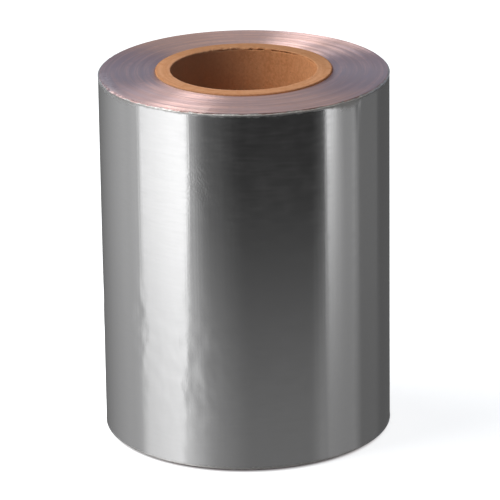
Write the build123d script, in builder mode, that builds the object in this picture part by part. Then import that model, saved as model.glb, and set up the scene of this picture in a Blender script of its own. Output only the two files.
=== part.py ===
from build123d import *
from math import radians, sin
import os

# An aluminium sealing film roll: foil laminate wound tight on a paperboard core.
# The roll stands on one end of its core. The winding axis is +Z, and the origin is the
# middle of the end that it stands on. All sizes are in millimetres.

# Driving dimensions of the core
core_bore = 76.2  # diameter of the hole, for a three-inch mandrel
core_wall = 8.0  # thickness of the paperboard
core_overhang = 1.4  # how far each end of the core stands out of the winding
core_edge_bevel = 0.5  # bevel that handling has worn on the cut edges

# Driving dimensions of the winding
film_width = 193.0  # width of the web, which is the length of the winding
film_thickness = 0.1  # one layer of the laminate
winding_depth = 29.9  # film on the core, along a radius to the free tail
turn_bands = 12  # groups of turns that show as rings on the end faces
band_stagger = 0.25  # furthest that a group of turns lies up or down the axis
inner_slide = 0.8  # how far the turns beside the core have slid up along it, easing to none at the rim
core_groove = 0.3  # how far the first turns lie below the next ones
rim_rise = 0.2  # how far the outer turns lie above the web's line
rim_bevel = 0.7  # bevel that handling has pressed on the edges of the outer turns
rim_lap_layers = 3  # layers that the outer group of turns shares with the group under it
tail_angle = 115.0  # where the free tail lies, in degrees from +X, on the far side

# Sizes that follow from those
core_radius = core_bore / 2 + core_wall
core_length = film_width + 2 * core_overhang
roll_radius = core_radius + winding_depth
band_depth = winding_depth / turn_bands
web_middle = core_overhang + film_width / 2
rim_depth = band_depth + rim_lap_layers * film_thickness
spiral_quarters = 4
quarter_turn = 360 / spiral_quarters
quarter_step = film_thickness / spiral_quarters
golden_angle = radians(137.5)  # stepping by this, no two neighbours come out alike


def band_level(band):
    """Give how far along the axis a group of turns lies from the web's line.

    The web keeps its width, so a group that stands out at one end is as far in at the other.
    """
    slide = inner_slide * (1 - band / (turn_bands - 1))
    if band == 0:
        return slide - core_groove
    return slide + band_stagger * sin(golden_angle * band)


# Paperboard tube, cut square at both ends
with BuildPart() as paper_core:
    with BuildSketch():
        Circle(core_radius)
        Circle(core_bore / 2, mode=Mode.SUBTRACT)
    extrude(amount=core_length)
    chamfer(paper_core.edges().filter_by(GeomType.CIRCLE), length=core_edge_bevel)
paper_core.part.label = "paper_core"

# Wound film: every group of turns is one ring of the web's width, all in one solid
with BuildPart() as film_winding:
    with BuildSketch(Plane.XZ):
        for band in range(turn_bands - 1):
            band_middle = core_radius + (band + 0.5) * band_depth
            with Locations((band_middle, web_middle + band_level(band))):
                Rectangle(band_depth, film_width)
    revolve(axis=Axis.Z)

    # The outer group runs inwards from the free tail as a spiral. Each quarter turn has its
    # own centre and is a quarter of a layer tighter than the one before, and tangent to it.
    quarter_centre = Vector(0, 0, 0)
    for quarter in range(spiral_quarters):
        start_angle = tail_angle + quarter * quarter_turn
        start_way = Vector(1, 0, 0).rotate(Axis.Z, start_angle)
        rim_middle = roll_radius - quarter * quarter_step - rim_depth / 2
        section_plane = Plane(quarter_centre, x_dir=start_way, z_dir=start_way.cross(Vector(0, 0, 1)))
        with BuildSketch(section_plane) as rim_section:
            with Locations((rim_middle, web_middle + rim_rise)):
                Rectangle(rim_depth, film_width)
            chamfer(rim_section.vertices().group_by(Axis.X)[-1], length=rim_bevel)
        revolve(axis=Axis(quarter_centre, (0, 0, 1)), revolution_arc=quarter_turn)
        quarter_centre += start_way.rotate(Axis.Z, quarter_turn) * quarter_step
film_winding.part.label = "film_winding"

os.makedirs("parts", exist_ok=True)
export_step(paper_core.part, "parts/paper_core.step")
export_step(film_winding.part, "parts/film_winding.step")
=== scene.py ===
# %% [markdown]
# # A roll of aluminium sealing film
# The real roll is a web of foil laminate, a tenth of a millimetre thick, wound some three hundred
# times round a paperboard tube. A sealing machine pulls the web off and welds it over cups and trays.
# Two finishes make the look: the bright outside of the last turn, and the cut edges of all the turns,
# which show on the end as fine rings. The CAD model has every size, so the lesson starts by loading it.

# %% Load the frame
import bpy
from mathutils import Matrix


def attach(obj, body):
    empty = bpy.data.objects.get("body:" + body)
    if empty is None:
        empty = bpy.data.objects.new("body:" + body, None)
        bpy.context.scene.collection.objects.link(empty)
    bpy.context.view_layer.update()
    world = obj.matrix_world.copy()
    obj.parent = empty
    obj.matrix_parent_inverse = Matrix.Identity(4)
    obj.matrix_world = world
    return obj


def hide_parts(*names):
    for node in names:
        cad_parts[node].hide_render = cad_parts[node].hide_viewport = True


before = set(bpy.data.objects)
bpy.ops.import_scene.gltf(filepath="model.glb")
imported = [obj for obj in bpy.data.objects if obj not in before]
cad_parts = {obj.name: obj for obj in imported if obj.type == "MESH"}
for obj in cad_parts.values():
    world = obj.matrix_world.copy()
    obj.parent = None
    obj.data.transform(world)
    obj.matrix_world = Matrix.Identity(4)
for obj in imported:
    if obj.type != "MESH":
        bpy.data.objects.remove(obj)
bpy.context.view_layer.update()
print("CAD nodes:", sorted(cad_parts))

# %% Tools for the lesson
import math
from collections import namedtuple

import bpy
import numpy as np
from mathutils import Quaternion, Vector, noise

MM = 0.001
FULL_TURN = 2 * math.pi
bpy.context.view_layer.update()

# %% [markdown]
# ## Reading sizes off the CAD solids
# A finer mesh that stands for a solid has to keep its form. The sizes could be typed in again, but then
# they would drift apart when the CAD changes. So the radii come from the solid's own points, and the
# heights of the wound end come from a probe: a ray that drops on the solid and says where it touches.


# %% Radii of both solids
def polar_points(node):
    """Give distance from the axis, angle and height of every point of a CAD solid."""
    spots = np.array([v.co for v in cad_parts[node].data.vertices])
    return np.hypot(spots[:, 0], spots[:, 1]), np.arctan2(spots[:, 1], spots[:, 0]), spots[:, 2]


film_reach, film_angle, _ = polar_points("film_winding")
core_reach, _, core_height = polar_points("paper_core")
film_inner, film_outer = film_reach.min(), film_reach.max()
core_inner, core_outer = core_reach.min(), core_reach.max()
core_top = core_height.max()
print("core radii, mm:", round(core_inner / MM, 2), round(core_outer / MM, 2))
print("winding radii, mm:", round(film_inner / MM, 2), round(film_outer / MM, 2))

# %% [markdown]
# ### The tail of the web
# The web ends in a free tail, so the last turn is a spiral: at the tail it lies one layer further out
# than where it began. The tail's bearing could be typed in, but the solid knows it. Going round the
# points of the last turn, their distance from the axis jumps by a layer there, and that jump is found.

# %% Where the web ends
last_turn_band = 0.3 * MM
last_turn = film_reach > film_outer - last_turn_band
film_layer = film_outer - film_reach[last_turn].min()
round_order = np.argsort(film_angle[last_turn])
turn_reach, turn_angle = film_reach[last_turn][round_order], film_angle[last_turn][round_order]
tail_angle = turn_angle[np.argmax(turn_reach - np.roll(turn_reach, 1))]
print("layer, mm:", round(film_layer / MM, 3), "tail at degrees:", round(math.degrees(tail_angle), 1))

# %% A probe for the ends
beside_tail = tail_angle + 0.02
rim_inset = 1.5 * MM


def feel_end(reach, from_above):
    """Drop a probe on one end of the CAD winding and give the height where it touches."""
    side = 1 if from_above else -1
    start = Vector((reach * math.cos(beside_tail), reach * math.sin(beside_tail), side))
    _, spot, _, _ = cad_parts["film_winding"].ray_cast(start, Vector((0, 0, -side)))
    return spot.z


rim_top = feel_end(film_outer - rim_inset, True)
rim_bottom = feel_end(film_outer - rim_inset, False)
print("rim heights, mm:", round(rim_bottom / MM, 2), round(rim_top / MM, 2))

# %% [markdown]
# ## A skin of rings
# Both pieces are tubes, so each can be one closed skin: a loop of rings, and every ring the same number
# of points round the axis. Blender's Spin or Screw tools make such skins too, but they repeat one
# outline exactly. Here each point is placed on its own, so a ring can waver, fray or dent as real film
# does. The wavering is noise that is read on a cylinder, so it meets itself after a full turn.


# %% Noise that closes round the axis
def waver(angles, heights, round_size, up_size, seed):
    """Give smooth noise on a cylinder, from -1 to 1, with features about that big in metres."""
    turns = film_outer / round_size
    aside, above = 31.7 * seed, 7.3 * seed
    return np.array([
        noise.noise(Vector((math.cos(a) * turns, math.sin(a) * turns + aside, h / up_size + above)))
        for a, h in zip(angles.ravel(), heights.ravel())
    ]).reshape(angles.shape)


quarter_marks = FULL_TURN * np.arange(5) / 4
sample = waver(quarter_marks, quarter_marks * 0, 20 * MM, 1, seed=1)
print("noise at each quarter of a turn:", np.round(sample, 3))

# %% The skin maker
sharp_fold = math.radians(55)


def ring_skin(name, reach, angle, height):
    """Join rings of points into one closed mesh: arrays are (rings, points round the axis)."""
    rings, columns = reach.shape
    spots = np.stack([reach * np.cos(angle), reach * np.sin(angle), height], -1).reshape(-1, 3)
    ring, column = np.meshgrid(np.arange(rings), np.arange(columns), indexing="ij")
    next_ring, next_column = (ring + 1) % rings, (column + 1) % columns
    corners = [ring * columns + column, next_ring * columns + column,
               next_ring * columns + next_column, ring * columns + next_column]
    mesh = bpy.data.meshes.new(name)
    mesh.from_pydata(spots.tolist(), [], np.stack(corners, -1).reshape(-1, 4).tolist())
    piece = bpy.data.objects.new(name, mesh)
    bpy.context.scene.collection.objects.link(piece)
    mesh.shade_smooth()
    mesh.set_sharp_from_angle(angle=sharp_fold)
    print(name, "has", len(mesh.polygons), "faces")
    return piece


# %% [markdown]
# ## The wound film
# The winding is one skin: over the upper cut end, round a soft lip, down the side, round a smaller lip
# at the foot and back over the lower end. What tells it from a turned block is that it is uneven, by
# hundredths to tenths of a millimetre. Bump in the material could fake that, but the mesh itself would
# be without it, so it is made as real geometry.
#
# The skin starts and ends at the tail, with a hair's gap between, so the step of one layer shows. Stiff
# laminate never lies quite flat at its end, so the tail lifts off the roll in a short curve.

# %% Points round the roll
film_columns = 540
tail_gap = math.radians(0.03)
turn_share = np.arange(film_columns) / (film_columns - 1)
film_around = tail_angle + (FULL_TURN - tail_gap) * turn_share
print("one column every", round(film_outer * FULL_TURN / film_columns / MM, 2), "mm")

# %% The last turn and its tail
skin_ease = 0.03 * MM
tail_rise, tail_spring = 0.6 * MM, 7 * MM
tail_lift = tail_rise * np.exp(-turn_share * FULL_TURN * film_outer / tail_spring)
last_turn_reach = film_outer - skin_ease - film_layer * turn_share + tail_lift
print("the tail lifts by", round(tail_lift.max() / MM, 2), "mm")

# %% [markdown]
# ### The cut ends
# On the real end every turn lies a hair higher or lower than its neighbours, and groups of turns have
# slid together. A ring of points for each turn would be three hundred rings, so on the upper end one
# ring stands for about five turns. The probe gives its height, a running mean softens the steps between
# the groups, a small random shift stands for single turns, and slow noise lets the rings slide a little
# further on one side of the roll. Beside the core the first ring dips into a narrow groove.

# %% The cut ends, ring by ring
lip_depth, lip_height = 1.0 * MM, 0.85 * MM
groove_width, groove_drop, groove_ease = 0.2 * MM, 0.2 * MM, 0.02 * MM
settle_rings, settle_width = 6, 2.2
settle = np.exp(-0.5 * (np.arange(-settle_rings, settle_rings + 1) / settle_width) ** 2)
turn_shift, most_shift = 0.008 * MM, 0.02 * MM
slide_depth = 0.05 * MM


def end_rings(count, from_above, seed):
    """Give reach and height of the rings on one cut end, from the core outwards."""
    up = 1 if from_above else -1
    draw = np.random.default_rng(seed)
    first, last = film_inner + groove_width, film_outer - film_layer - lip_depth
    ring_reach = np.linspace(first, last, count)
    levels = np.array([feel_end(r, from_above) for r in ring_reach])
    levels = np.convolve(np.pad(levels, settle_rings, mode="edge"), settle / settle.sum(), mode="valid")
    levels += draw.normal(0, turn_shift, count).clip(-most_shift, most_shift)
    reach, around = np.meshgrid(ring_reach, film_around, indexing="ij")
    height = levels[:, None] + slide_depth * waver(around, reach * 6, 55 * MM, 18 * MM, seed)
    groove_reach = np.full((1, film_columns), film_inner + groove_ease)
    groove_height = np.full((1, film_columns), levels[0] - up * groove_drop)
    return np.vstack([groove_reach, reach]), np.vstack([groove_height, height])


top_reach, top_height = end_rings(60, True, 11)
bottom_reach, bottom_height = end_rings(24, False, 12)
print("end heights, mm:", round(top_height[1:].min() / MM, 2), "to", round(top_height.max() / MM, 2))

# %% [markdown]
# ### The frayed lip
# Handling presses the outermost turns over into a soft, frayed lip. In front on the right it is torn, up
# to a sharp kink. In front it has a frayed spot, and further left it is scuffed. A bevel would be the
# quick way, but it is the same all round. So the lip is eight rings on a quarter of a circle, and noise
# pushes their points down and in, most on the crest and not at all where the lip meets the side.


# %% Worn places along the lip
def apart(angles, degrees):
    """Give how far round the roll's side each angle lies from a bearing, in metres along the film."""
    return ((angles - math.radians(degrees) + math.pi) % FULL_TURN - math.pi) * film_outer


def worn_spot(degrees, width, power):
    """Give 1 at a bearing, falling to 0 beside it; a higher power gives it a flatter middle."""
    return np.exp(-((apart(film_around, degrees) / width) ** power))


tear_start, tear_end, tear_stop = -57.0, -40.0, 1.2 * MM
tear_length = film_outer * math.radians(tear_end - tear_start)
along_tear = apart(film_around, tear_end)
tear_share = (1 + along_tear / tear_length).clip(0, 1)
tear_share = np.where(along_tear > 0, np.exp(-along_tear / tear_stop), tear_share)
kink = worn_spot(tear_end, 1.6 * MM, 2)
frayed_spot = worn_spot(-112, 6 * MM, 2)
scuffed_spot = worn_spot(-155, 25 * MM, 4)
print("the tear is", round(tear_length / MM, 1), "mm long")

# %% The rings of a lip
lip_bow = np.radians(np.linspace(0, 90, 8))
foot_size = 0.55
fray_depth, nick_depth = 0.45 * MM, 1.3 * MM


def lip_rings(rim, from_above, seed):
    """Give reach and height of a rounded lip, from the cut end over to the side."""
    up, size = (1, 1) if from_above else (-1, foot_size)
    bow = lip_bow[:, None]
    level = np.full(film_columns, rim)
    fray = (0.6 * waver(film_around, level, 5.0 * MM, 1, seed)
            + 0.6 * waver(film_around, level, 1.9 * MM, 1, seed + 1))
    nick = np.clip(waver(film_around, level, 2.6 * MM, 1, seed + 2) - 0.35, 0, 1) ** 1.5
    nick = nick + frayed_spot * np.abs(waver(film_around, level, 1.6 * MM, 1, seed + 3))
    torn = 0.5 * kink + 0.3 * tear_share * (0.5 - fray) if from_above else 0
    push = fray_depth * (fray - 0.8) - nick_depth * nick - torn * MM
    hump = np.sin(2 * bow).clip(0, 1)
    reach = last_turn_reach - size * lip_depth * (1 - np.sin(bow)) + 0.6 * size * push * hump
    height = rim - up * size * lip_height * (1 - np.cos(bow))
    return reach, height + up * size * push * np.cos(bow).clip(0, 1) ** 0.5


lip_reach, lip_heights = lip_rings(rim_top, True, 21)
foot_reach, foot_heights = lip_rings(rim_bottom, False, 22)
print("lip rings:", len(lip_reach), "at each end")

# %% [markdown]
# ### The side
# The last turn is no perfect cylinder. It waves slowly along its length, has faint upright streaks from
# the winding, puckers under the lip, is creased below the kink, and carries shallow dents where it was
# handled. Sculpting by hand would do, but a script can be run again. So each of these is noise with a
# size and a depth of its own, and they are added up. Rows lie closest together where most happens.

# %% Rows down the side
side_top, side_bottom = rim_top - lip_height, rim_bottom + foot_size * lip_height
near_lip = np.array([0.35, 0.8, 1.4, 2.2, 3.2, 4.4]) * MM
close_band = 6 * MM
plain_rows = np.linspace(side_top - close_band, side_bottom + close_band, 66)
side_levels = np.concatenate([side_top - near_lip, plain_rows, side_bottom + near_lip[::-1]])
side_height, side_around = np.meshgrid(side_levels, film_around, indexing="ij")
below_lip, above_foot = side_top - side_height, side_height - side_bottom
print("rows down the side:", len(side_levels))


# %% Waves of the side
def side_waver(wide, tall, seed):
    """Give noise for each point of the side, with features of that size in millimetres."""
    return waver(side_around, side_height, wide * MM, tall * MM, seed)


slow_depth, quick_depth, streak_depth, pucker_depth = 0.06 * MM, 0.008 * MM, 0.01 * MM, 0.035 * MM
slow_wave = slow_depth * side_waver(34, 90, 31)
quick_wave = quick_depth * side_waver(9, 40, 32)
web_streaks = streak_depth * side_waver(3.2, 300, 61)
under_lip = np.exp(-below_lip / (9 * MM)) + 0.6 * np.exp(-above_foot / (7 * MM))
puckers = pucker_depth * under_lip * side_waver(7, 30, 33)
print("slow waves, mm:", round(np.ptp(slow_wave) / MM, 3))
print("puckers, mm:", round(np.ptp(puckers) / MM, 3))

# %% Crease and rumples at the tear
crease_depth, rumple_depth = 0.2 * MM, 0.1 * MM
crease = -crease_depth * kink * np.exp(-below_lip / (5 * MM))
torn_patch = tear_share * np.exp(-below_lip / (3 * MM))
rumple = rumple_depth * torn_patch * side_waver(2.2, 2.2, 37)
side_shape = slow_wave + quick_wave + web_streaks + puckers + crease + rumple
print("crease and rumples, mm:", round(np.ptp(crease + rumple) / MM, 3))

# %% Where the roll was handled
Handled = namedtuple("Handled", "share bearing level wide tall")
handled_places = [
    Handled(1, -116, 48, 19, 34),
    Handled(0.12, -106.5, 157, 10, 16),
    Handled(0.8, -135, 72, 10, 22),
    Handled(0.8, 60, 120, 30, 30),
    Handled(0.6, 170, 70, 30, 25),
]


def patch(bearing, level, wide, tall):
    """Give a soft-edged patch on the side, 1 in its middle, from degrees and millimetres."""
    across, along = apart(side_around, bearing) / (wide * MM), (side_height - level * MM) / (tall * MM)
    return np.exp(-(across ** 2) - along ** 2)


handling = sum(spot.share * patch(*spot[1:]) for spot in handled_places)
print("handled places:", len(handled_places))

# %% Dents
dent_depth, slant_depth, slant = 0.3 * MM, 0.06 * MM, 0.9
dent_field = side_waver(9, 8, 34) + 0.55 * side_waver(4, 4, 36)
slant_around = side_around + slant * side_height / film_outer
slant_field = waver(slant_around, side_height, 5 * MM, 70 * MM, 39)
side_shape = side_shape + handling * (dent_depth * (dent_field - 0.5) + slant_depth * slant_field)
side_reach = last_turn_reach + side_shape - side_shape.max()
print("side wavers by", round(np.ptp(side_shape) / MM, 3), "mm")

# %% Put the winding together
film_rings = [(top_reach, top_height), (lip_reach, lip_heights), (side_reach, side_height),
              (foot_reach[::-1], foot_heights[::-1]), (bottom_reach[::-1], bottom_height[::-1])]
film_reach_grid = np.vstack([r for r, _ in film_rings])
film_height_grid = np.vstack([h for _, h in film_rings])
film_angle_grid = np.broadcast_to(film_around, film_reach_grid.shape)
wound_film = ring_skin("wound_film", film_reach_grid, film_angle_grid, film_height_grid)
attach(wound_film, "root")
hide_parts("film_winding")

# %% [markdown]
# ### Amounts for the finish
# Crushed foil goes dull, and crinkled foil glitters in flakes. Both fade out over some millimetres, so a
# material of their own would end in too hard a line. Instead two amounts from 0 to 1 are kept on the
# points of the mesh, as attributes. The finish reads them later and mixes itself by them.


# %% How far each point is crushed
def keep_amount(piece, name, amount):
    """Keep one number per point of a piece, for its finish to read."""
    layer = piece.data.attributes.new(name, "FLOAT", "POINT")
    layer.data.foreach_set("value", amount.ravel().astype(np.float32))


plain_crush, tear_crush, scuff_crush = 0.6, 3.6, 1.2
ragged_depth = 1 + 0.6 * waver(film_angle_grid, film_height_grid * 0, 2.4 * MM, 1, 38)
upper_half = film_height_grid > (side_top + side_bottom) / 2
worn_crush = (tear_crush * tear_share + scuff_crush * scuffed_spot) * upper_half
crush_depth = (plain_crush + worn_crush) * MM * ragged_depth
from_lip = np.minimum(side_top - film_height_grid, film_height_grid - side_bottom)
crush = np.clip(1.5 - from_lip / crush_depth, 0, 1)
keep_amount(wound_film, "crush", crush)
print("crushed points:", int((crush > 0.5).sum()))

# %% How far each point is crinkled
first_side_row = len(top_reach) + len(lip_reach)
side_rows = slice(first_side_row, first_side_row + len(side_levels))
pressed_place = 1.4 * patch(-105, 157, 7, 13)
crinkle = np.zeros_like(crush)
crinkle[side_rows] = np.clip(0.4 * handling + pressed_place + torn_patch, 0, 1)
keep_amount(wound_film, "crinkle", crinkle)
print("crinkled points:", int((crinkle > 0.5).sum()))

# %% [markdown]
# ## The paperboard core
# The core is strips of kraft paper wound on a slant and glued, then sawn to length. A cylinder with a
# hole and a bevel would have its form, but would look like plastic at the sawn edge. As a skin of rings
# its edge can be roughened point by point, and the rings lie closest together there.

# %% Section of the core
edge_bevel, edge_round = 0.5 * MM, 0.15 * MM
face_start, face_width = core_inner + edge_bevel, core_outer - core_inner - 2 * edge_bevel
face_steps = np.linspace(0, 1, 25)
plain_bore = core_top - 6 * MM
bore_steps = np.linspace(0, 1, 24)[:-1]
under_edge = np.array([3.2, 2.4, 1.9, 1.55, 1.3, 1.1, 0.9, 0.7, 0.5]) * MM


def core_outline():
    """Give (reach, height) round the tube's cut section: top face, outer wall, bottom face, bore."""
    face = [(face_start + step * face_width, core_top) for step in face_steps]
    outer = [(core_outer - edge_bevel, core_top), (core_outer - edge_round, core_top - edge_round),
             (core_outer, core_top - edge_bevel), (core_outer, edge_bevel),
             (core_outer - edge_round, edge_round), (core_outer - edge_bevel, 0)]
    foot = [(r, 0) for r, _ in face[::-1]]
    inner_foot = (core_inner + edge_round, edge_round)
    bore = [(core_inner, edge_bevel + step * plain_bore) for step in bore_steps]
    bore = bore + [(core_inner, core_top - depth) for depth in under_edge]
    inner_top = (core_inner + edge_round, core_top - edge_round)
    return face[:-1] + outer + foot[1:] + [inner_foot] + bore + [inner_top]


section = np.array(core_outline())
print("core section has", len(section), "points")

# %% Rings of the core
core_columns = 480
core_around = np.linspace(0, FULL_TURN, core_columns, endpoint=False)
core_reach_grid, core_angle_grid = np.meshgrid(section[:, 0], core_around, indexing="ij")
straight_height = np.broadcast_to(section[:, 1:], core_reach_grid.shape)
core_height_grid = straight_height.copy()
print("core rings:", core_reach_grid.shape[0], "of", core_columns, "points")

# %% [markdown]
# ### Torn fibres and a loose ply
# The saw tears fibres out of the inner edge, most of all at the back, and just below it a ply has come
# loose in short dashes. Hairs would be finer than a pixel here. So noise pulls the edge's own points
# down and out, and a thin groove is pressed into the bore. How far the groove is open is kept on the
# points, because the finish paints shade into the open gap.

# %% Torn fibres at the inner edge
tear_reach, fibre_drop, fibre_pull = 1.1 * MM, 1.3 * MM, 0.6 * MM
torn_way, torn_width = math.radians(95), 0.65
near_edge = np.exp(-np.hypot(core_reach_grid - core_inner, core_height_grid - core_top) / tear_reach)
torn_side = 0.3 + 1.3 * np.exp(-((core_angle_grid - torn_way) / torn_width) ** 2)
fibre = (0.6 * waver(core_angle_grid, core_height_grid, 5 * MM, 5 * MM, 41)
         + 0.6 * waver(core_angle_grid, core_height_grid, 2 * MM, 3 * MM, 42))
tear = near_edge * torn_side
core_height_grid -= fibre_drop * tear * np.abs(fibre)
core_reach_grid = core_reach_grid + fibre_pull * tear * (fibre * 0.7 + 0.3)
print("fibres pulled down by up to", round((straight_height - core_height_grid).max() / MM, 2), "mm")

# %% A ply that has come loose under the edge
loose_from, loose_over = math.radians(15), math.radians(98)
gap_height = 0.24 * MM
on_wall = core_inner + 0.01 * MM
in_bore = np.broadcast_to(section[:, :1] < on_wall, core_reach_grid.shape)
dash = (waver(core_angle_grid, core_height_grid * 0, 7 * MM, 1, 44)
        + 0.7 * waver(core_angle_grid, core_height_grid * 0, 2.6 * MM, 1, 45))
loose_span = np.sin(math.pi * ((core_angle_grid - loose_from) / loose_over).clip(0, 1)) ** 0.5
gap_level = core_top - (0.95 + 0.3 * dash) * MM
gap = np.exp(-((straight_height - gap_level) / gap_height) ** 2) * in_bore
gap = gap * loose_span * (0.45 + 1.6 * dash).clip(0, 1)
print("points in the open ply:", int((gap > 0.5).sum()))

# %% Put the core together
gap_depth, grain_depth = 0.9 * MM, 0.03 * MM
paper_grain = grain_depth * waver(core_angle_grid, core_height_grid, 6 * MM, 14 * MM, 43)
core_reach_grid = core_reach_grid + gap_depth * gap + np.where(in_bore, np.abs(paper_grain), 0)
kraft_core = ring_skin("kraft_core", core_reach_grid, core_angle_grid, core_height_grid)
keep_amount(kraft_core, "gap", gap)
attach(kraft_core, "root")
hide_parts("paper_core")

# %% [markdown]
# ## Finishes
# All three finishes are built from noise nodes, so they have no picture behind them and hold up close
# to. The nodes read the object's own coordinates, which are the CAD frame in metres, so a feature keeps
# its real size. A few helpers keep each recipe short, and the first finish brings them in one by one.
#
# ### Bright foil
# Rolled foil is a mirror with a grain: the rolls leave fine lines along the web, which here run round
# the roll. A wrapped picture of brushed metal would need a seam, and noise needs none. So the shader is
# metal with little roughness, the lines change that roughness slightly, and the gloss is stretched
# across the lines, which keeps upright edges crisp in it and blurs level ones.


# %% Start the foil
def new_finish(name):
    """Start a material and give it with its node tree and its shader."""
    finish = bpy.data.materials.new(name)
    finish.use_nodes = True
    return finish, finish.node_tree, finish.node_tree.nodes["Principled BSDF"]


bright_foil, tree, foil = new_finish("bright_foil")
foil.inputs["Metallic"].default_value = 1.0
print("finish:", bright_foil.name)


# %% Measure the place on the roll
def add_node(tree, kind, inputs, **options):
    """Add a node, set its options, and link or set its inputs by name or number."""
    node = tree.nodes.new(kind)
    for option, value in options.items():
        setattr(node, option, value)
    for socket, value in inputs.items():
        if isinstance(value, bpy.types.NodeSocket):
            tree.links.new(value, node.inputs[socket])
        else:
            node.inputs[socket].default_value = value
    return node


def calc(tree, operation, first, second=0.0):
    """Add a Math node and give its result."""
    return add_node(tree, "ShaderNodeMath", {0: first, 1: second}, operation=operation).outputs[0]


def roll_axes(tree):
    """Give the place on the object, its distance from the axis, and its x, y and z, all in metres."""
    place = add_node(tree, "ShaderNodeTexCoord", {}).outputs["Object"]
    axes = add_node(tree, "ShaderNodeSeparateXYZ", {0: place}).outputs
    squares = [calc(tree, "MULTIPLY", axis, axis) for axis in axes[:2]]
    return place, calc(tree, "SQRT", calc(tree, "ADD", *squares)), axes


place, reach, axes = roll_axes(tree)
print("nodes so far:", len(tree.nodes))


# %% Lines and clouds
def grain(tree, spot, detail):
    """Give Blender's noise at a spot, with grains about one unit apart."""
    inputs = {"Vector": spot, "Scale": 1.0, "Detail": detail}
    return add_node(tree, "ShaderNodeTexNoise", inputs).outputs[0]


def grain_lines(tree, along, reach, axes, size, sweep, detail=3.0):
    """Give noise in lines round the axis: about size apart in metres, fading over 1/sweep radians."""
    compass = [calc(tree, "MULTIPLY", calc(tree, "DIVIDE", axis, reach), sweep) for axis in axes[:2]]
    step = calc(tree, "DIVIDE", along, size)
    spot = add_node(tree, "ShaderNodeCombineXYZ", {0: step, 1: compass[0], 2: compass[1]})
    return grain(tree, spot.outputs[0], detail)


def speckle(tree, place, size, stretch=(1, 1, 1), detail=3.0):
    """Give noise in space, with grains about that big in metres, stretched along the axes."""
    scales = [1 / (size * s) for s in stretch]
    return grain(tree, add_node(tree, "ShaderNodeMapping", {0: place, 3: scales}).outputs[0], detail)


roll_lines = grain_lines(tree, axes[2], reach, axes, 1.5 * MM, 6.0)
cloud = speckle(tree, place, 8 * MM)
halves = [calc(tree, "MULTIPLY", part, 0.5) for part in (roll_lines, cloud)]
foil_tone = calc(tree, "ADD", *halves)
print("nodes so far:", len(tree.nodes))

# %% Colour and roughness of plain foil
NOISE_LOW, NOISE_HIGH = 0.3, 0.7


def spread(tree, value, low, high, to_low=0.0, to_high=1.0):
    """Stretch a value from one range to another, smoothly, and stop at the ends."""
    return add_node(tree, "ShaderNodeMapRange", {0: value, 1: low, 2: high, 3: to_low, 4: to_high},
                    interpolation_type="SMOOTHSTEP").outputs[0]


def spread_noise(tree, value, to_low=0.0, to_high=1.0):
    """Stretch noise, most of which lies between 0.3 and 0.7, to another range."""
    return spread(tree, value, NOISE_LOW, NOISE_HIGH, to_low, to_high)


def blend(tree, share, first, second):
    """Mix two colours, given as sockets or as red, green and blue."""
    mixer = add_node(tree, "ShaderNodeMix", {0: share}, data_type="RGBA")
    for socket, colour in ((mixer.inputs[6], first), (mixer.inputs[7], second)):
        if isinstance(colour, bpy.types.NodeSocket):
            tree.links.new(colour, socket)
        else:
            socket.default_value = (*colour, 1)
    return mixer.outputs[2]


foil_grey, foil_white = (0.825, 0.825, 0.83), (0.845, 0.845, 0.85)
foil_colour = blend(tree, spread_noise(tree, foil_tone), foil_grey, foil_white)
foil_rough = spread_noise(tree, foil_tone, 0.19, 0.105)
print("nodes so far:", len(tree.nodes))


# %% Gloss stretched across the lines
def stretch_gloss(tree, shader, amount):
    """Stretch the gloss across lines that run round the axis."""
    quarter_turn = 0.25
    shader.inputs["Anisotropic"].default_value = amount
    shader.inputs["Anisotropic Rotation"].default_value = quarter_turn
    round_way = add_node(tree, "ShaderNodeTangent", {}, direction_type="RADIAL", axis="Z").outputs[0]
    tree.links.new(round_way, shader.inputs["Tangent"])


foil_stretch = 0.75
stretch_gloss(tree, foil, foil_stretch)
print("foil gloss stretched by", foil_stretch)

# %% [markdown]
# ### Crushed foil and its relief
# The crushed lip is the same foil gone dull and grey, and where it tore it is paler and in flakes. The
# amounts that the points keep fade the mirror into that, and noise breaks the fade up. The relief is a
# bump of hundredths of a millimetre: a fine peel all over, which gets deep where the foil is crinkled,
# and upright lines from the pull of the winding. It is too fine to be worth mesh points.


# %% Dull foil at the lip and the tear
def kept_amount(tree, name):
    """Read an amount that the points of the piece keep."""
    return add_node(tree, "ShaderNodeAttribute", {}, attribute_name=name).outputs["Fac"]


dull_dark, dull_light = (0.275, 0.267, 0.263), (0.48, 0.47, 0.466)
torn_dark, torn_light = (0.42, 0.41, 0.405), (0.76, 0.75, 0.745)
crush_rough = 0.58
crinkle_amount = kept_amount(tree, "crinkle")
crumple = speckle(tree, place, 1.1 * MM)
broken_up = spread(tree, crumple, 0.3, 0.65, 0.55, 1.0)
crushed = calc(tree, "MULTIPLY", kept_amount(tree, "crush"), broken_up)
crumple_share = spread(tree, crumple, 0.35, 0.65)
dull_foil = blend(tree, crumple_share, dull_dark, dull_light)
torn_foil = blend(tree, crumple_share, torn_dark, torn_light)
dull_foil = blend(tree, crinkle_amount, dull_foil, torn_foil)
tree.links.new(blend(tree, crushed, foil_colour, dull_foil), foil.inputs["Base Color"])
foil_rough = calc(tree, "ADD", foil_rough, calc(tree, "MULTIPLY", crushed, crush_rough))
tree.links.new(foil_rough, foil.inputs["Roughness"])
print("nodes so far:", len(tree.nodes))

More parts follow.
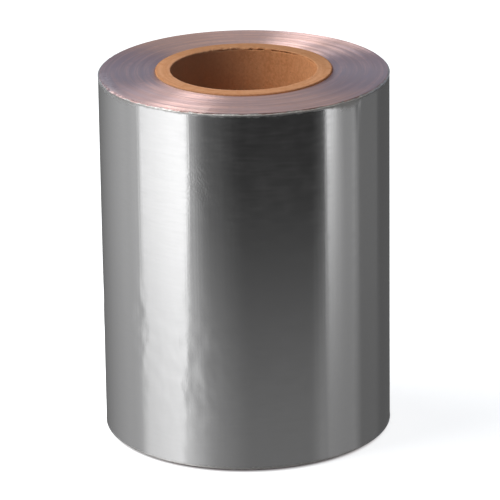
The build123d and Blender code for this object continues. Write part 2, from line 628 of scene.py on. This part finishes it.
# %% Relief of the foil
plain_peel, crinkle_peel, line_relief = 0.13, 0.7, 0.35
foil_relief = 0.06 * MM
peel_depth = calc(tree, "ADD", calc(tree, "MULTIPLY", crinkle_amount, crinkle_peel), plain_peel)
peel_height = calc(tree, "MULTIPLY", speckle(tree, place, 1.0 * MM, (1, 1, 1.2), 2.0), peel_depth)
upright_lines = speckle(tree, place, 1.8 * MM, (1, 1, 80), 2.0)
peel_height = calc(tree, "ADD", peel_height, calc(tree, "MULTIPLY", upright_lines, line_relief))
peel = add_node(tree, "ShaderNodeBump",
                {"Strength": 1.0, "Distance": foil_relief, "Height": peel_height})
tree.links.new(peel.outputs[0], foil.inputs["Normal"])
print("foil is done with", len(tree.nodes), "nodes")

# %% [markdown]
# ### Cut film edges
# The end of the roll is hundreds of slit edges side by side. They scatter light across the rings and
# hardly along them, like the bottom of a pan, and that draws bright wedges towards the light. Modelled
# edges would be finer than a pixel, so gloss stretched across the rings does it. The plastic between
# the foil tints the metal from lilac to pink, in rings of two sizes.

# %% Rings and their tint
edge_lilac, edge_pink, edge_shade = (0.53, 0.395, 0.415), (0.71, 0.48, 0.44), (0.49, 0.335, 0.32)
cut_edges, tree, edges = new_finish("cut_edges")
edges.inputs["Metallic"].default_value = 1.0
place, reach, axes = roll_axes(tree)
fine_rings = grain_lines(tree, reach, reach, axes, 0.8 * MM, 1.5, 4.0)
broad_rings = grain_lines(tree, reach, reach, axes, 2.6 * MM, 2.0, 3.0)
tint = blend(tree, spread(tree, broad_rings, 0.35, 0.65), edge_lilac, edge_pink)
edge_colour = blend(tree, spread_noise(tree, fine_rings), edge_shade, tint)
print("nodes so far:", len(tree.nodes))

# %% [markdown]
# ### Marks on the cut end
# A slitting knife leaves marks that run outwards across the rings. At the front left a fold has pressed
# the outer turns over, and on one side of a straight line they are painted paler, a painted highlight
# for the light that the fold catches. The left rim is scuffed.
# They could be painted by hand, but each is a simple region: a span of reach, of x or of y. Multiplied,
# the spans give the place, and the colour there is mixed in.

# %% Knife marks
marked_edge, mark_strength = (0.50, 0.36, 0.36), 0.4
across_rings = grain_lines(tree, reach, reach, axes, 24 * MM, 22.0)
knife_marks = spread(tree, across_rings, 0.48, 0.64, 0.0, mark_strength)
edge_colour = blend(tree, knife_marks, edge_colour, marked_edge)
print("nodes so far:", len(tree.nodes))


# %% The fold, with a painted highlight
def overlap(tree, *spans):
    """Multiply spans that each go from 0 to 1, which gives the place that lies in all of them."""
    shared = spans[0]
    for span in spans[1:]:
        shared = calc(tree, "MULTIPLY", shared, span)
    return shared


# Painted highlight: past the fold line the outer turns are painted paler, as if the fold caught the
# light.
fold_highlight_colour, fold_highlight_strength = (0.80, 0.60, 0.57), 0.5
fold_way, fold_blur = math.radians(-105), 0.3 * MM
past_fold = calc(tree, "SUBTRACT", calc(tree, "MULTIPLY", axes[1], math.cos(fold_way)),
                 calc(tree, "MULTIPLY", axes[0], math.sin(fold_way)))
painted_fold_highlight = overlap(
    tree,
    spread(tree, past_fold, fold_blur, -fold_blur),
    spread(tree, past_fold, -15 * MM, -2 * MM, 0.0, fold_highlight_strength),
    spread(tree, reach, film_outer - 14 * MM, film_outer - 8 * MM),
    spread(tree, axes[1], 0.0, -0.3 * film_outer),
)
edge_colour = blend(tree, painted_fold_highlight, edge_colour, fold_highlight_colour)
print("nodes so far:", len(tree.nodes))

# %% The scuffed rim
scuffed_edge, scuff_strength = (0.93, 0.80, 0.78), 0.6
scuffed = overlap(
    tree,
    spread(tree, axes[0], -0.78 * film_outer, -0.92 * film_outer, 0.0, scuff_strength),
    spread(tree, axes[1], 0.05 * film_outer, -0.12 * film_outer),
    spread(tree, reach, film_outer - 8 * MM, film_outer - 3 * MM),
    spread(tree, speckle(tree, place, 1.6 * MM), 0.35, 0.6),
)
tree.links.new(blend(tree, scuffed, edge_colour, scuffed_edge), edges.inputs["Base Color"])
print("nodes so far:", len(tree.nodes))

# %% [markdown]
# ### Lean and gloss of the cut edges
# A slit edge is not square: the knife leaves it leaning, so the whole end throws its light as a shallow
# cone would. A real cone would change the form, so a bump whose height grows with the distance from the
# axis turns only the light. Then the gloss is stretched across the rings, as far as it goes.

# %% Lean and gloss
knife_lean = 0.3
lean_in = calc(tree, "MULTIPLY", reach, knife_lean)
leaning = add_node(tree, "ShaderNodeBump", {"Strength": 1.0, "Distance": 1.0, "Height": lean_in})
tree.links.new(leaning.outputs[0], edges.inputs["Normal"])
tree.links.new(spread_noise(tree, fine_rings, 0.31, 0.39), edges.inputs["Roughness"])
stretch_gloss(tree, edges, 1.0)
print("cut edges are done with", len(tree.nodes), "nodes")

# %% [markdown]
# ### Two finishes on one skin
# Where the end meets the foil, single turns stick out or are pressed over, so the line between the two
# finishes is ragged. Two objects would need a seam there. So every face of the one skin is given one of
# two materials, and noise moves the line over a few rings, further out on the scuffed side.

# %% Dress the winding
wound_film.data.materials.append(bright_foil)
wound_film.data.materials.append(cut_edges)
film_row_count = len(film_reach_grid)
ring_of_face = np.repeat(np.arange(film_row_count), film_columns)
column_of_face = np.tile(np.arange(film_columns), film_row_count)
flat_level = film_around * 0
ragged = (3.2 * waver(film_around, flat_level, 6 * MM, 1, 51)
          + 2.8 * waver(film_around, flat_level, 2.2 * MM, 1, 52))
lip_first = len(top_reach) + 1 + np.rint(ragged + 5 * scuffed_spot).astype(int)
foot_last = film_row_count - len(bottom_reach) - 1 + np.rint(np.abs(ragged) / 2).astype(int)
on_side = (ring_of_face >= lip_first[column_of_face]) & (ring_of_face <= foot_last[column_of_face])
wound_film.data.polygons.foreach_set("material_index", np.where(on_side, 0, 1).astype(np.int32))
print("foil faces:", int(on_side.sum()), "cut edge faces:", int((~on_side).sum()))

# %% [markdown]
# ### Kraft board
# Kraft is brown, matt and never even: short fibres, pale flecks, dark specks and broad clouds. One brown
# with a bump would read as clay, and noise that is stretched reads as wood. So the noise is fine and
# nearly even in all directions, and roughness stays high, because paper has no gloss.

# %% Fibres and flecks
brown_kraft, tree, board = new_finish("brown_kraft")
place, reach, axes = roll_axes(tree)
fibre_dark, fibre_light = (0.60, 0.25, 0.10), (0.73, 0.325, 0.14)
cloud_brown, fleck_pale, speck_dark = (0.66, 0.31, 0.145), (0.72, 0.44, 0.25), (0.28, 0.12, 0.05)
fibres = speckle(tree, place, 1.3 * MM, (1, 1, 1.2), 5.0)
flecks = speckle(tree, place, 0.7 * MM, (1, 1, 1), 2.0)
clouds = speckle(tree, place, 14 * MM)
brown = blend(tree, spread_noise(tree, fibres), fibre_dark, fibre_light)
brown = blend(tree, spread(tree, clouds, 0.35, 0.75, 0.0, 0.5), brown, cloud_brown)
brown = blend(tree, spread(tree, flecks, 0.62, 0.75, 0.0, 0.35), brown, fleck_pale)
brown = blend(tree, spread(tree, flecks, 0.28, 0.38, 0.4, 0.0), brown, speck_dark)
print("nodes so far:", len(tree.nodes))

# %% [markdown]
# ### The sawn face of the board
# The saw lays the plies bare as faint rings and scorches them in clouds. The inner edge is painted paler,
# a painted highlight where its chamfer faces the lamps, except on the right, and the outer edge is
# painted darker, a painted shadow in the groove beside the film, except at the front. A second material
# would do for the face, but the colours have to run over the edge, so height mixes the face in.

# %% Plies and scorching
ply_dark, ply_light, scorch_brown = (0.60, 0.27, 0.125), (0.76, 0.39, 0.21), (0.56, 0.225, 0.085)
inner_highlight_brown, inner_highlight_strength, scorch_strength = (0.76, 0.43, 0.27), 0.45, 0.6
plies = grain_lines(tree, reach, reach, axes, 1.0 * MM, 1.5)
ply_tone = blend(tree, spread_noise(tree, plies), ply_dark, ply_light)
# Painted highlight: the inner edge is painted paler on the left, towards the lamps.
painted_inner_highlight = overlap(
    tree,
    spread(tree, reach, core_inner + 2.6 * MM, core_inner + 0.4 * MM, 0.0, inner_highlight_strength),
    spread(tree, axes[0], 0.7 * core_inner, 0.0),
)
ply_tone = blend(tree, painted_inner_highlight, ply_tone, inner_highlight_brown)
scorch_clouds = spread(tree, speckle(tree, place, 4 * MM), 0.45, 0.7)
scorched = calc(tree, "MULTIPLY", scorch_clouds, scorch_strength)
ply_tone = blend(tree, scorched, ply_tone, scorch_brown)
print("nodes so far:", len(tree.nodes))

# %% Painted shadow at the outer edge, and the face mixed in
outer_shadow_brown, outer_shadow_strength, face_strength = (0.47, 0.19, 0.075), 0.6, 0.75
# Painted shadow: the outer edge is painted darker, as shade in the groove beside the film, less at the
# front.
painted_outer_shadow = overlap(
    tree,
    spread(tree, reach, core_outer - 1.1 * MM, core_outer - 0.2 * MM, 0.0, outer_shadow_strength),
    spread(tree, axes[1], -0.95 * core_outer, -0.45 * core_outer, 0.1, 1.0),
)
ply_tone = blend(tree, painted_outer_shadow, ply_tone, outer_shadow_brown)
sawn = spread(tree, axes[2], core_top - 0.7 * MM, core_top - 0.1 * MM)
brown = blend(tree, calc(tree, "MULTIPLY", sawn, face_strength), brown, ply_tone)
print("nodes so far:", len(tree.nodes))

# %% [markdown]
# ### Painted shade and fuzz on the board
# The far side of the face is painted darker, and the left of the bore, which lies in the lamps' shadow,
# is painted a greyer, darker brown; both are painted shade. The gap of the loose ply is painted nearly
# black, also painted shade. Each is one more span that mixes in one more brown. A bump from the same
# fibres gives the fuzz of bare paper.

# %% Painted shade: far side, left of the bore and the loose ply
far_shade_brown, far_shade_strength = (0.40, 0.18, 0.075), 0.55
bore_shade_grey, bore_shade_strength = (0.37, 0.24, 0.15), 0.75
gap_shade_brown, gap_shade_strength = (0.16, 0.06, 0.024), 0.75
# Painted shade: the far side of the sawn face, away from the lamps, is painted darker.
far_way = calc(tree, "ADD", axes[1], calc(tree, "MULTIPLY", axes[0], 0.25))
painted_far_shade = spread(tree, far_way, -0.2 * core_outer, 0.7 * core_outer, 0.0, far_shade_strength)
brown = blend(tree, overlap(tree, sawn, painted_far_shade), brown, far_shade_brown)
# Painted shade: the left of the bore, in the lamps' shadow, is painted a greyer, darker brown.
shaded_bore_side = spread(tree, axes[0], 0.45 * core_inner, -0.8 * core_inner, 0.0, bore_shade_strength)
painted_bore_shade = overlap(tree, shaded_bore_side, calc(tree, "SUBTRACT", 1.0, sawn))
brown = blend(tree, painted_bore_shade, brown, bore_shade_grey)
# Painted shade: the open gap of the loose ply is painted nearly black.
painted_gap_shade = calc(tree, "MULTIPLY", kept_amount(tree, "gap"), gap_shade_strength)
brown = blend(tree, painted_gap_shade, brown, gap_shade_brown)
tree.links.new(brown, board.inputs["Base Color"])
print("nodes so far:", len(tree.nodes))

# %% Fuzz, and dress the core
board_gloss, fuzz_strength, fuzz_depth = 0.25, 0.4, 0.1 * MM
tree.links.new(spread_noise(tree, fibres, 0.95, 0.8), board.inputs["Roughness"])
board.inputs["Specular IOR Level"].default_value = board_gloss
fuzz = add_node(tree, "ShaderNodeBump",
                {"Strength": fuzz_strength, "Distance": fuzz_depth, "Height": fibres})
tree.links.new(fuzz.outputs[0], board.inputs["Normal"])
kraft_core.data.materials.append(brown_kraft)
print("board is done with", len(tree.nodes), "nodes")

# %% [markdown]
# ## The studio
# ### Camera
# The photo looks down on the roll by some nineteen degrees, and the roll's upright edges hardly lean
# together, so it was taken from far off. A near camera with a wide lens would bulge the front. So a long
# lens stands two metres away, and it is turned by less than a degree, as the photo is.

# %% Camera
look_down, photo_roll = math.radians(19.45), math.radians(-0.75)
camera_distance, camera_lens, sensor_width, sight = 2.085, 284.3, 36, 20
aim = Vector((2.04 * MM, 0, (rim_top + rim_bottom) / 2 - 2.5 * MM))
camera_back = Vector((0, -math.cos(look_down), math.sin(look_down)))
camera_data = bpy.data.cameras.new("studio_camera")
camera_data.lens, camera_data.sensor_width, camera_data.clip_end = camera_lens, sensor_width, sight
studio_camera = bpy.data.objects.new("studio_camera", camera_data)
studio_camera.location = aim + camera_back * camera_distance
studio_camera.rotation_mode = "QUATERNION"
level_look = (-camera_back).to_track_quat("-Z", "Y")
studio_camera.rotation_quaternion = level_look @ Quaternion((0, 0, 1), photo_roll)
bpy.context.scene.collection.objects.link(studio_camera)
bpy.context.scene.camera = studio_camera
bpy.context.scene.view_settings.view_transform = "Standard"
print("camera stands", [round(v, 3) for v in studio_camera.location], "m")

# %% [markdown]
# ### White room and floor
# The background is white. Light strong enough to turn a floor white would bleach the roll. The Light
# Path node tells looks from light: what the camera or a mirror sees gets a room of strength 1, which is
# white, and surfaces get a dim, cool light. The floor works the same way: a pale sheet with a glow of
# its own, a little under white, so the roll's shadow stays on it. Under the roll the glow is off.


# %% What camera and mirrors see as white
def seen_directly(tree):
    """Give 1 for rays from the camera, a mirror or through glass, and 0 for light on a surface."""
    path = add_node(tree, "ShaderNodeLightPath", {}).outputs
    seen = calc(tree, "MAXIMUM", path["Is Camera Ray"], path["Is Glossy Ray"])
    return calc(tree, "MAXIMUM", seen, path["Is Transmission Ray"])


room_light, cool_light, white = 0.15, (0.82, 0.95, 1.15), (1, 1, 1)
room = bpy.data.worlds.new("white_room")
bpy.context.scene.world = room
room.use_nodes = True
tree = room.node_tree
looks = seen_directly(tree)
room_strength = spread(tree, looks, 0.0, 1.0, room_light, 1.0)
tree.links.new(room_strength, tree.nodes["Background"].inputs["Strength"])
tree.links.new(blend(tree, looks, cool_light, white), tree.nodes["Background"].inputs["Color"])
print("room light on surfaces:", room_light)

# %% Floor
floor_half = 4.0
floor_mesh = bpy.data.meshes.new("floor")
floor_corners = [(-floor_half, -floor_half, 0), (floor_half, -floor_half, 0),
                 (floor_half, floor_half, 0), (-floor_half, floor_half, 0)]
floor_mesh.from_pydata(floor_corners, [], [(0, 1, 2, 3)])
floor = bpy.data.objects.new("floor", floor_mesh)
bpy.context.scene.collection.objects.link(floor)
print("floor is", 2 * floor_half, "m wide")

# %% Pale sheet on the floor
sheet_grey, sheet_glow, roll_foot = 0.84, 0.79, 4.5 * MM
pale_sheet, tree, sheet = new_finish("pale_sheet")
sheet.inputs["Base Color"].default_value = (sheet_grey, sheet_grey, sheet_grey, 1)
sheet.inputs["Roughness"].default_value = 1.0
sheet.inputs["Specular IOR Level"].default_value = 0.0
sheet.inputs["Emission Color"].default_value = (*white, 1)
_, reach, _ = roll_axes(tree)
clear_of_roll = spread(tree, reach, film_outer - roll_foot, film_outer, 0.0, sheet_glow)
seen_glow = calc(tree, "MULTIPLY", seen_directly(tree), clear_of_roll)
tree.links.new(seen_glow, sheet.inputs["Emission Strength"])
floor_mesh.materials.append(pale_sheet)
print("finish:", pale_sheet.name)

# %% [markdown]
# ### Cards for the mirror
# Foil has hardly a colour of its own: what is seen in it is the studio. Seen from a little above, its
# side mirrors the table top all round. A photographer therefore lays things there: a white card on the
# left, dark cloth in front, a narrow pale card on the right. Plain planes would do, but their edges would
# lean in the foil. An edge looks upright only if it runs along the line in which the foil sends the
# camera's look: from a foot point of the roll, at twice that point's bearing. So the table is divided
# into such lines, like a fan, and every card is a span of bearings. Dim walls and a ceiling close it in.

# %% The list of cards
# Bearings are in degrees: 0 is towards the camera, and +90 is on the right. The second edge can draw in
# beside the roll, and a card's brightness changes from the roll out to far_at, in metres.
Card = namedtuple(
    "Card", "name start end soft_start soft_end near far draw_in far_at", defaults=(0, 0.53))
table_cards = [
    Card("dim_left", -136.5, -20, 84, 20, 0.39, 0.45),
    Card("shade_line", -110, -102, 5, 5, 0.355, 0.41),
    Card("pale_verge", -60, -20, 10, 10, 0.78, 0.78),
    Card("grey_cloth", -46, 67, 36, 6, 0.285, 0.10),
    Card("dark_cloth", -18, 62, 36, 14, 0.15, 0.026),
    Card("white_card", -91.5, -46.7, 4, 4, 0.63, 0.93, draw_in=7),
    Card("white_heart", -72, -45.4, 50, 3, 0.87, 1.2, draw_in=7),
    Card("pale_strip", 66.8, 106, 1.2, 3, 0.215, 0.265),
    Card("thin_line", 93.5, 98.5, 2, 2, 0.22, 0.295),
    Card("bright_line", 67.5, 75, 1.2, 18, 0.24, 1.1, far_at=0.9),
    Card("dim_right", 100.3, 131, 4.5, 4, 0.13, 0.147),
    Card("dark_right", 131, 178, 5, 10, 0.10, 0.095),
]
print("cards:", [card.name for card in table_cards])

# %% How bright the cards are
bare_table, near_blur, most_blur = 0.14, 1.8, 12


def ramp(value, start, width):
    """Rise smoothly from 0 to 1 over a width that begins at start."""
    share = np.clip((value - start) / width, 0, 1)
    return share * share * (3 - 2 * share)


def card_light(bearing, run):
    """Lay the cards one on the other and give the brightness at each spot of the table."""
    light = bare_table * np.ones_like(run)
    for card in table_cards:
        out = ramp(run, 0, card.far_at)
        rise = card.soft_start + (1 - out) * min(near_blur * card.soft_start, most_blur)
        fall = card.soft_end + (1 - out) * min(near_blur * card.soft_end, most_blur)
        end = card.end - card.draw_in * (1 - out)
        for turn in (-360, 0, 360):
            at = bearing + turn
            share = ramp(at, card.start - rise / 2, rise) * (1 - ramp(at, end - fall / 2, fall))
            light = light * (1 - share) + share * (card.near + (card.far - card.near) * out)
    return light


fan_bearing = np.linspace(-180, 180, 361)
fan_run = np.array([0, 0.02, 0.05, 0.09, 0.14, 0.2, 0.27, 0.35, 0.45, 0.56, 0.7, 1.0, 1.6, 3.0])
run_grid, bearing_grid = np.meshgrid(fan_run, fan_bearing, indexing="ij")
table_glow = card_light(bearing_grid, run_grid)[..., None] * np.ones(3)
print("card brightness from", round(table_glow.min(), 3), "to", round(table_glow.max(), 3))

# %% How bright the walls and the ceiling are
wall_rows = [(1.0, 0.4), (1.0, 1.2), (1.0, 2.0)]
ceiling_rows = [(0.8, 2.8), (0.35, 3.3)]
wall_share, wall_least, back_start, back_soft = 0.6, 0.22, 105, 30
back_colour, ceiling_colour = np.array([0.38, 0.415, 0.505]), np.array([0.80, 0.765, 0.69])
back_share = ramp(np.abs(fan_bearing), back_start, back_soft)[:, None]
front_wall = np.maximum(wall_share * table_glow[-1], wall_least)
wall_glow = front_wall * (1 - back_share) + back_colour * back_share
ceiling_glow = np.broadcast_to(ceiling_colour, wall_glow.shape)
upper_glow = np.stack([wall_glow] * len(wall_rows) + [ceiling_glow] * len(ceiling_rows))
glow = np.concatenate([table_glow, upper_glow])
print("wall brightness from", round(wall_glow.min(), 3), "to", round(wall_glow.max(), 3))

# %% Where the cards lie and the walls stand
card_gap, card_lift = 0.5 * MM, 0.4 * MM
foot_ring = film_outer + card_gap
fan_way = np.radians(bearing_grid)
fan_foot = fan_way / 2
fan_x = foot_ring * np.sin(fan_foot) + run_grid * np.sin(fan_way)
fan_y = -foot_ring * np.cos(fan_foot) - run_grid * np.cos(fan_way)
fan_z = np.full_like(fan_x, card_lift)
room_rows = wall_rows + ceiling_rows
card_x = np.vstack([fan_x] + [fan_x[-1] * share for share, _ in room_rows])
card_y = np.vstack([fan_y] + [fan_y[-1] * share for share, _ in room_rows])
card_z = np.vstack([fan_z] + [np.full(len(fan_bearing), level) for _, level in room_rows])
print("cards reach out to", fan_run[-1], "m and the ceiling up to", room_rows[-1][1], "m")

# %% Lay the cards and stand the walls
card_rows, card_count = card_x.shape
card_faces = [(r * card_count + b, r * card_count + (b + 1) % card_count,
               (r + 1) * card_count + (b + 1) % card_count, (r + 1) * card_count + b)
              for r in range(card_rows - 1) for b in range(card_count)]
card_spots = np.stack([card_x, card_y, card_z], -1).reshape(-1, 3)
card_mesh = bpy.data.meshes.new("mirror_cards")
card_mesh.from_pydata(card_spots.tolist(), [], card_faces)
glow_layer = card_mesh.attributes.new("glow", "FLOAT_COLOR", "POINT")
glow_colours = np.concatenate([glow, np.ones_like(glow[..., :1])], -1)
glow_layer.data.foreach_set("color", glow_colours.ravel().astype(np.float32))
mirror_cards = bpy.data.objects.new("mirror_cards", card_mesh)
bpy.context.scene.collection.objects.link(mirror_cards)
print("cards and walls have", len(card_faces), "faces")

# %% Paint the cards for mirrors only
card_paint, tree, paint = new_finish("card_paint")
paint.inputs["Base Color"].default_value = (0, 0, 0, 1)
paint.inputs["Specular IOR Level"].default_value = 0.0
paint.inputs["Emission Strength"].default_value = 1.0
card_glow = add_node(tree, "ShaderNodeAttribute", {}, attribute_name="glow").outputs["Color"]
tree.links.new(card_glow, paint.inputs["Emission Color"])
card_paint.cycles.emission_sampling = "NONE"
card_mesh.materials.append(card_paint)
mirror_cards.visible_camera = False
mirror_cards.visible_diffuse = False
mirror_cards.visible_transmission = False
mirror_cards.visible_shadow = False
print("finish:", card_paint.name)

# %% [markdown]
# ### Lamps
# The cut end catches its light from lamps on the left. One lamp would draw one hard pair of wedges on
# the rings, so four soft ones stand from the front left round to the back left. The first is by far the
# strongest and draws the wedges, and the others fill in the light between them.

# %% Lamps
Lamp = namedtuple("Lamp", "name place size power")
studio_lamps = [
    Lamp("side_lamp", (-0.86, -0.31, 0.97), 0.7, 7.4),
    Lamp("top_lamp", (-0.50, 0.02, 1.15), 0.55, 2.9),
    Lamp("back_lamp", (-0.75, 0.30, 0.95), 0.6, 1.6),
    Lamp("far_lamp", (-0.82, 0.60, 0.80), 0.6, 2.1),
]
roll_end = Vector((0, 0, core_top))
lamp_white = (0.99, 1.0, 0.98)


def hang_lamp(lamp):
    """Hang a square soft lamp and aim it at the end of the roll."""
    data = bpy.data.lights.new(lamp.name, "AREA")
    data.shape, data.size = "SQUARE", lamp.size
    data.energy, data.color = lamp.power, lamp_white
    hung = bpy.data.objects.new(lamp.name, data)
    hung.location = lamp.place
    hung.rotation_mode = "QUATERNION"
    hung.rotation_quaternion = (roll_end - Vector(lamp.place)).to_track_quat("-Z", "Y")
    hung.visible_camera = False
    bpy.context.scene.collection.objects.link(hung)


for lamp in studio_lamps:
    hang_lamp(lamp)
print("lamps:", [lamp.name for lamp in studio_lamps])
